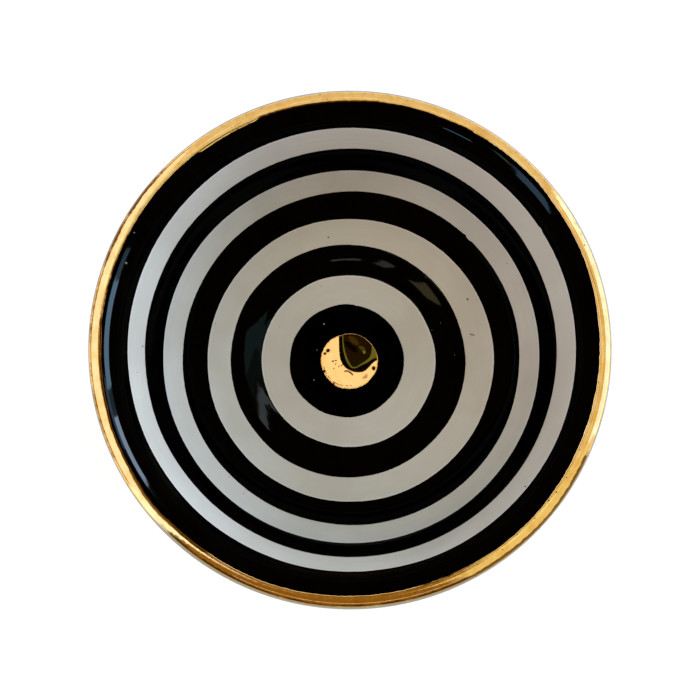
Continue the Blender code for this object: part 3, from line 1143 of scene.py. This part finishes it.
def add_lamps():
    add_lamp("overhead", OVERHEAD_PLACE, (0, 0, 0), OVERHEAD_SIZE, OVERHEAD, gloss=False)
    for name, azimuths, elevations, colour in SOFT_WINDOWS:
        window("soft_" + name, azimuths, elevations, ROOM_DISTANCE, colour, gloss=False)
    wide_black = ("paint_black_rim", "paint_black_outer", "paint_black_middle", "paint_black_centre")
    add_panes("pane_", PANES, receivers("wide_black", wide_black))
    add_panes("inner_pane_", INNER_BAND_PANES, receivers("inner_black", ("paint_black_inner",)))
    add_panes("white_pane_", WHITE_PANES, receivers("white", ("glaze_",)))
    gold_rim = receivers("gold_rim", ("lustre_gold_rim",))
    add_sheets("gold", GOLD_SHEETS, gold_rim)
    add_level_sheets(gold_rim)
    add_sheets("dot", DOT_SHEETS, receivers("gold_dot", ("lustre_gold_dot",)))


# What the polished dot mirrors: a pale card with a rounded dark shape in front of it

CARD_HEIGHT = 0.3745
CARD_GAP = 0.0003
CARD_PALE = ((-20, 22), (20, 22), (20, 78), (-20, 78))
CARD_GLOW = (1.22, 1.08, 1.18)

# Outlines in millimetres, right and away, of the dark shape and what shows in it, lowest last
SHAPES = (
    ("shape_rim", (0.003, 0.002, 0.001), (
        (4.9, 30), (4.9, 40), (4.8, 44), (4.4, 47.4), (3.9, 48.7), (3.0, 50.5), (1.6, 52.0),
        (-0.5, 53.1), (-2.2, 53.7), (-4.2, 53.8), (-6.3, 53.4), (-8.3, 51.5), (-9.7, 49.7),
        (-11.4, 48.3), (-15, 47.0), (-15, 30),
    )),
    ("shape_line", (0.140, 0.172, 0.060), (
        (3.4, 30), (3.4, 38), (3.1, 42.6), (2.55, 45.4), (1.85, 47.9), (0.8, 50.1), (-0.4, 51.5),
        (-1.2, 51.8), (-2.6, 51.8), (-3.4, 51.3), (-5.4, 50.2), (-7.6, 49.2), (-9.0, 48.2),
        (-10.3, 47.3), (-11.6, 47.1), (-12.4, 44.6), (-11.4, 41.8), (-10.0, 41.6), (-9.8, 30),
    )),
    ("shape_middle", (0.013, 0.009, 0.0005), (
        (2.95, 30), (2.95, 39.5), (2.7, 41.2), (2.50, 42.6), (2.00, 44.7), (1.32, 46.8),
        (0.58, 48.5), (-0.35, 50.5), (-1.2, 51.2), (-2.6, 51.2), (-3.4, 50.65), (-5.4, 49.4),
        (-7.6, 47.8), (-8.6, 46.8), (-9.2, 45.2), (-9.5, 43.8), (-9.6, 30),
    )),
    ("shape_brown", (0.047, 0.035, 0.006), (
        (1.2, 37.3), (-1.4, 37.1), (-4.2, 40.1), (-3.5, 41.7), (-0.6, 40.3),
    )),
    ("shape_blot", (0.003, 0.002, 0.0), (
        (2.5, 38.8), (-0.2, 40.2), (-3.5, 42.8), (-2.8, 44.9), (-0.2, 43.4), (2.3, 41.0),
    )),
    ("shape_patch", (0.056, 0.063, 0.008), (
        (-3.7, 41.2), (-5.4, 41.6), (-6.6, 42.5), (-6.9, 44.9), (-5.8, 45.2), (-5.2, 43.5),
        (-3.9, 42.6),
    )),
    ("shape_speck", (0.200, 0.250, 0.140), (
        (-5.5, 43.7), (-6.6, 43.8), (-6.7, 44.8), (-5.8, 45.0),
    )),
)


def rounded(outline, times=2):
    """Cut the corners of a closed outline, which rounds them."""
    points = np.array(outline, float)
    for _ in range(times):
        after = np.roll(points, -1, 0)
        cuts = [0.75 * points + 0.25 * after, 0.25 * points + 0.75 * after]
        points = np.stack(cuts, 1).reshape(-1, 2)
    return points


def add_card(name, outline, height, colour, only):
    """A glowing level sheet that only polished surfaces show."""
    points = [(MM * right, MM * away, height) for right, away in outline]
    mesh = bpy.data.meshes.new(name)
    mesh.from_pydata(points, [], [range(len(points))])
    card = add_object(name, mesh)
    material = bpy.data.materials.new(name)
    tree = empty_tree(material)
    link_output(tree, "Material", node(tree, "Emission", {"Color": (*colour, 1.0)}).outputs[0])
    material.cycles.emission_sampling = "NONE"
    mesh.materials.append(material)
    card.visible_camera = False
    card.visible_diffuse = False
    card.visible_transmission = False
    card.visible_shadow = False
    card.light_linking.receiver_collection = only


def add_cards():
    dot = bpy.data.collections["gold_dot"]
    add_card("card_pale", CARD_PALE, CARD_HEIGHT + CARD_GAP * len(SHAPES), CARD_GLOW, dot)
    for index, (name, colour, outline) in enumerate(SHAPES):
        height = CARD_HEIGHT + CARD_GAP * (len(SHAPES) - 1 - index)
        add_card(name, rounded(outline), height, colour, dot)


CAMERA_DISTANCE = 0.340
CAMERA_OFFSET = 0.0484
CAMERA_LENS = 90.70
CAMERA_SENSOR = 36.0
AIM_AWAY = -0.00128


def add_camera():
    """The photograph's view: from above and a little to the near side."""
    data = bpy.data.cameras.new("camera")
    data.sensor_width = CAMERA_SENSOR
    data.lens = CAMERA_LENS
    data.clip_start = 0.01
    data.clip_end = 50.0
    camera = add_object("camera", data)
    top = SHELL.read(np.array([LIP_TOP]))[1][0]
    camera.location = (0.0, -CAMERA_OFFSET, top + CAMERA_DISTANCE)
    aim = Vector((0.0, AIM_AWAY, top))
    camera.rotation_euler = (aim - camera.location).to_track_quat("-Z", "Y").to_euler()
    bpy.context.scene.camera = camera


def write_sizes():
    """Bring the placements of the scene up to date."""
    bpy.context.view_layer.update()


build_dish()
add_floor()
set_world()
add_lamps()
add_cards()
add_camera()
bpy.context.scene.view_settings.view_transform = "Standard"
write_sizes()
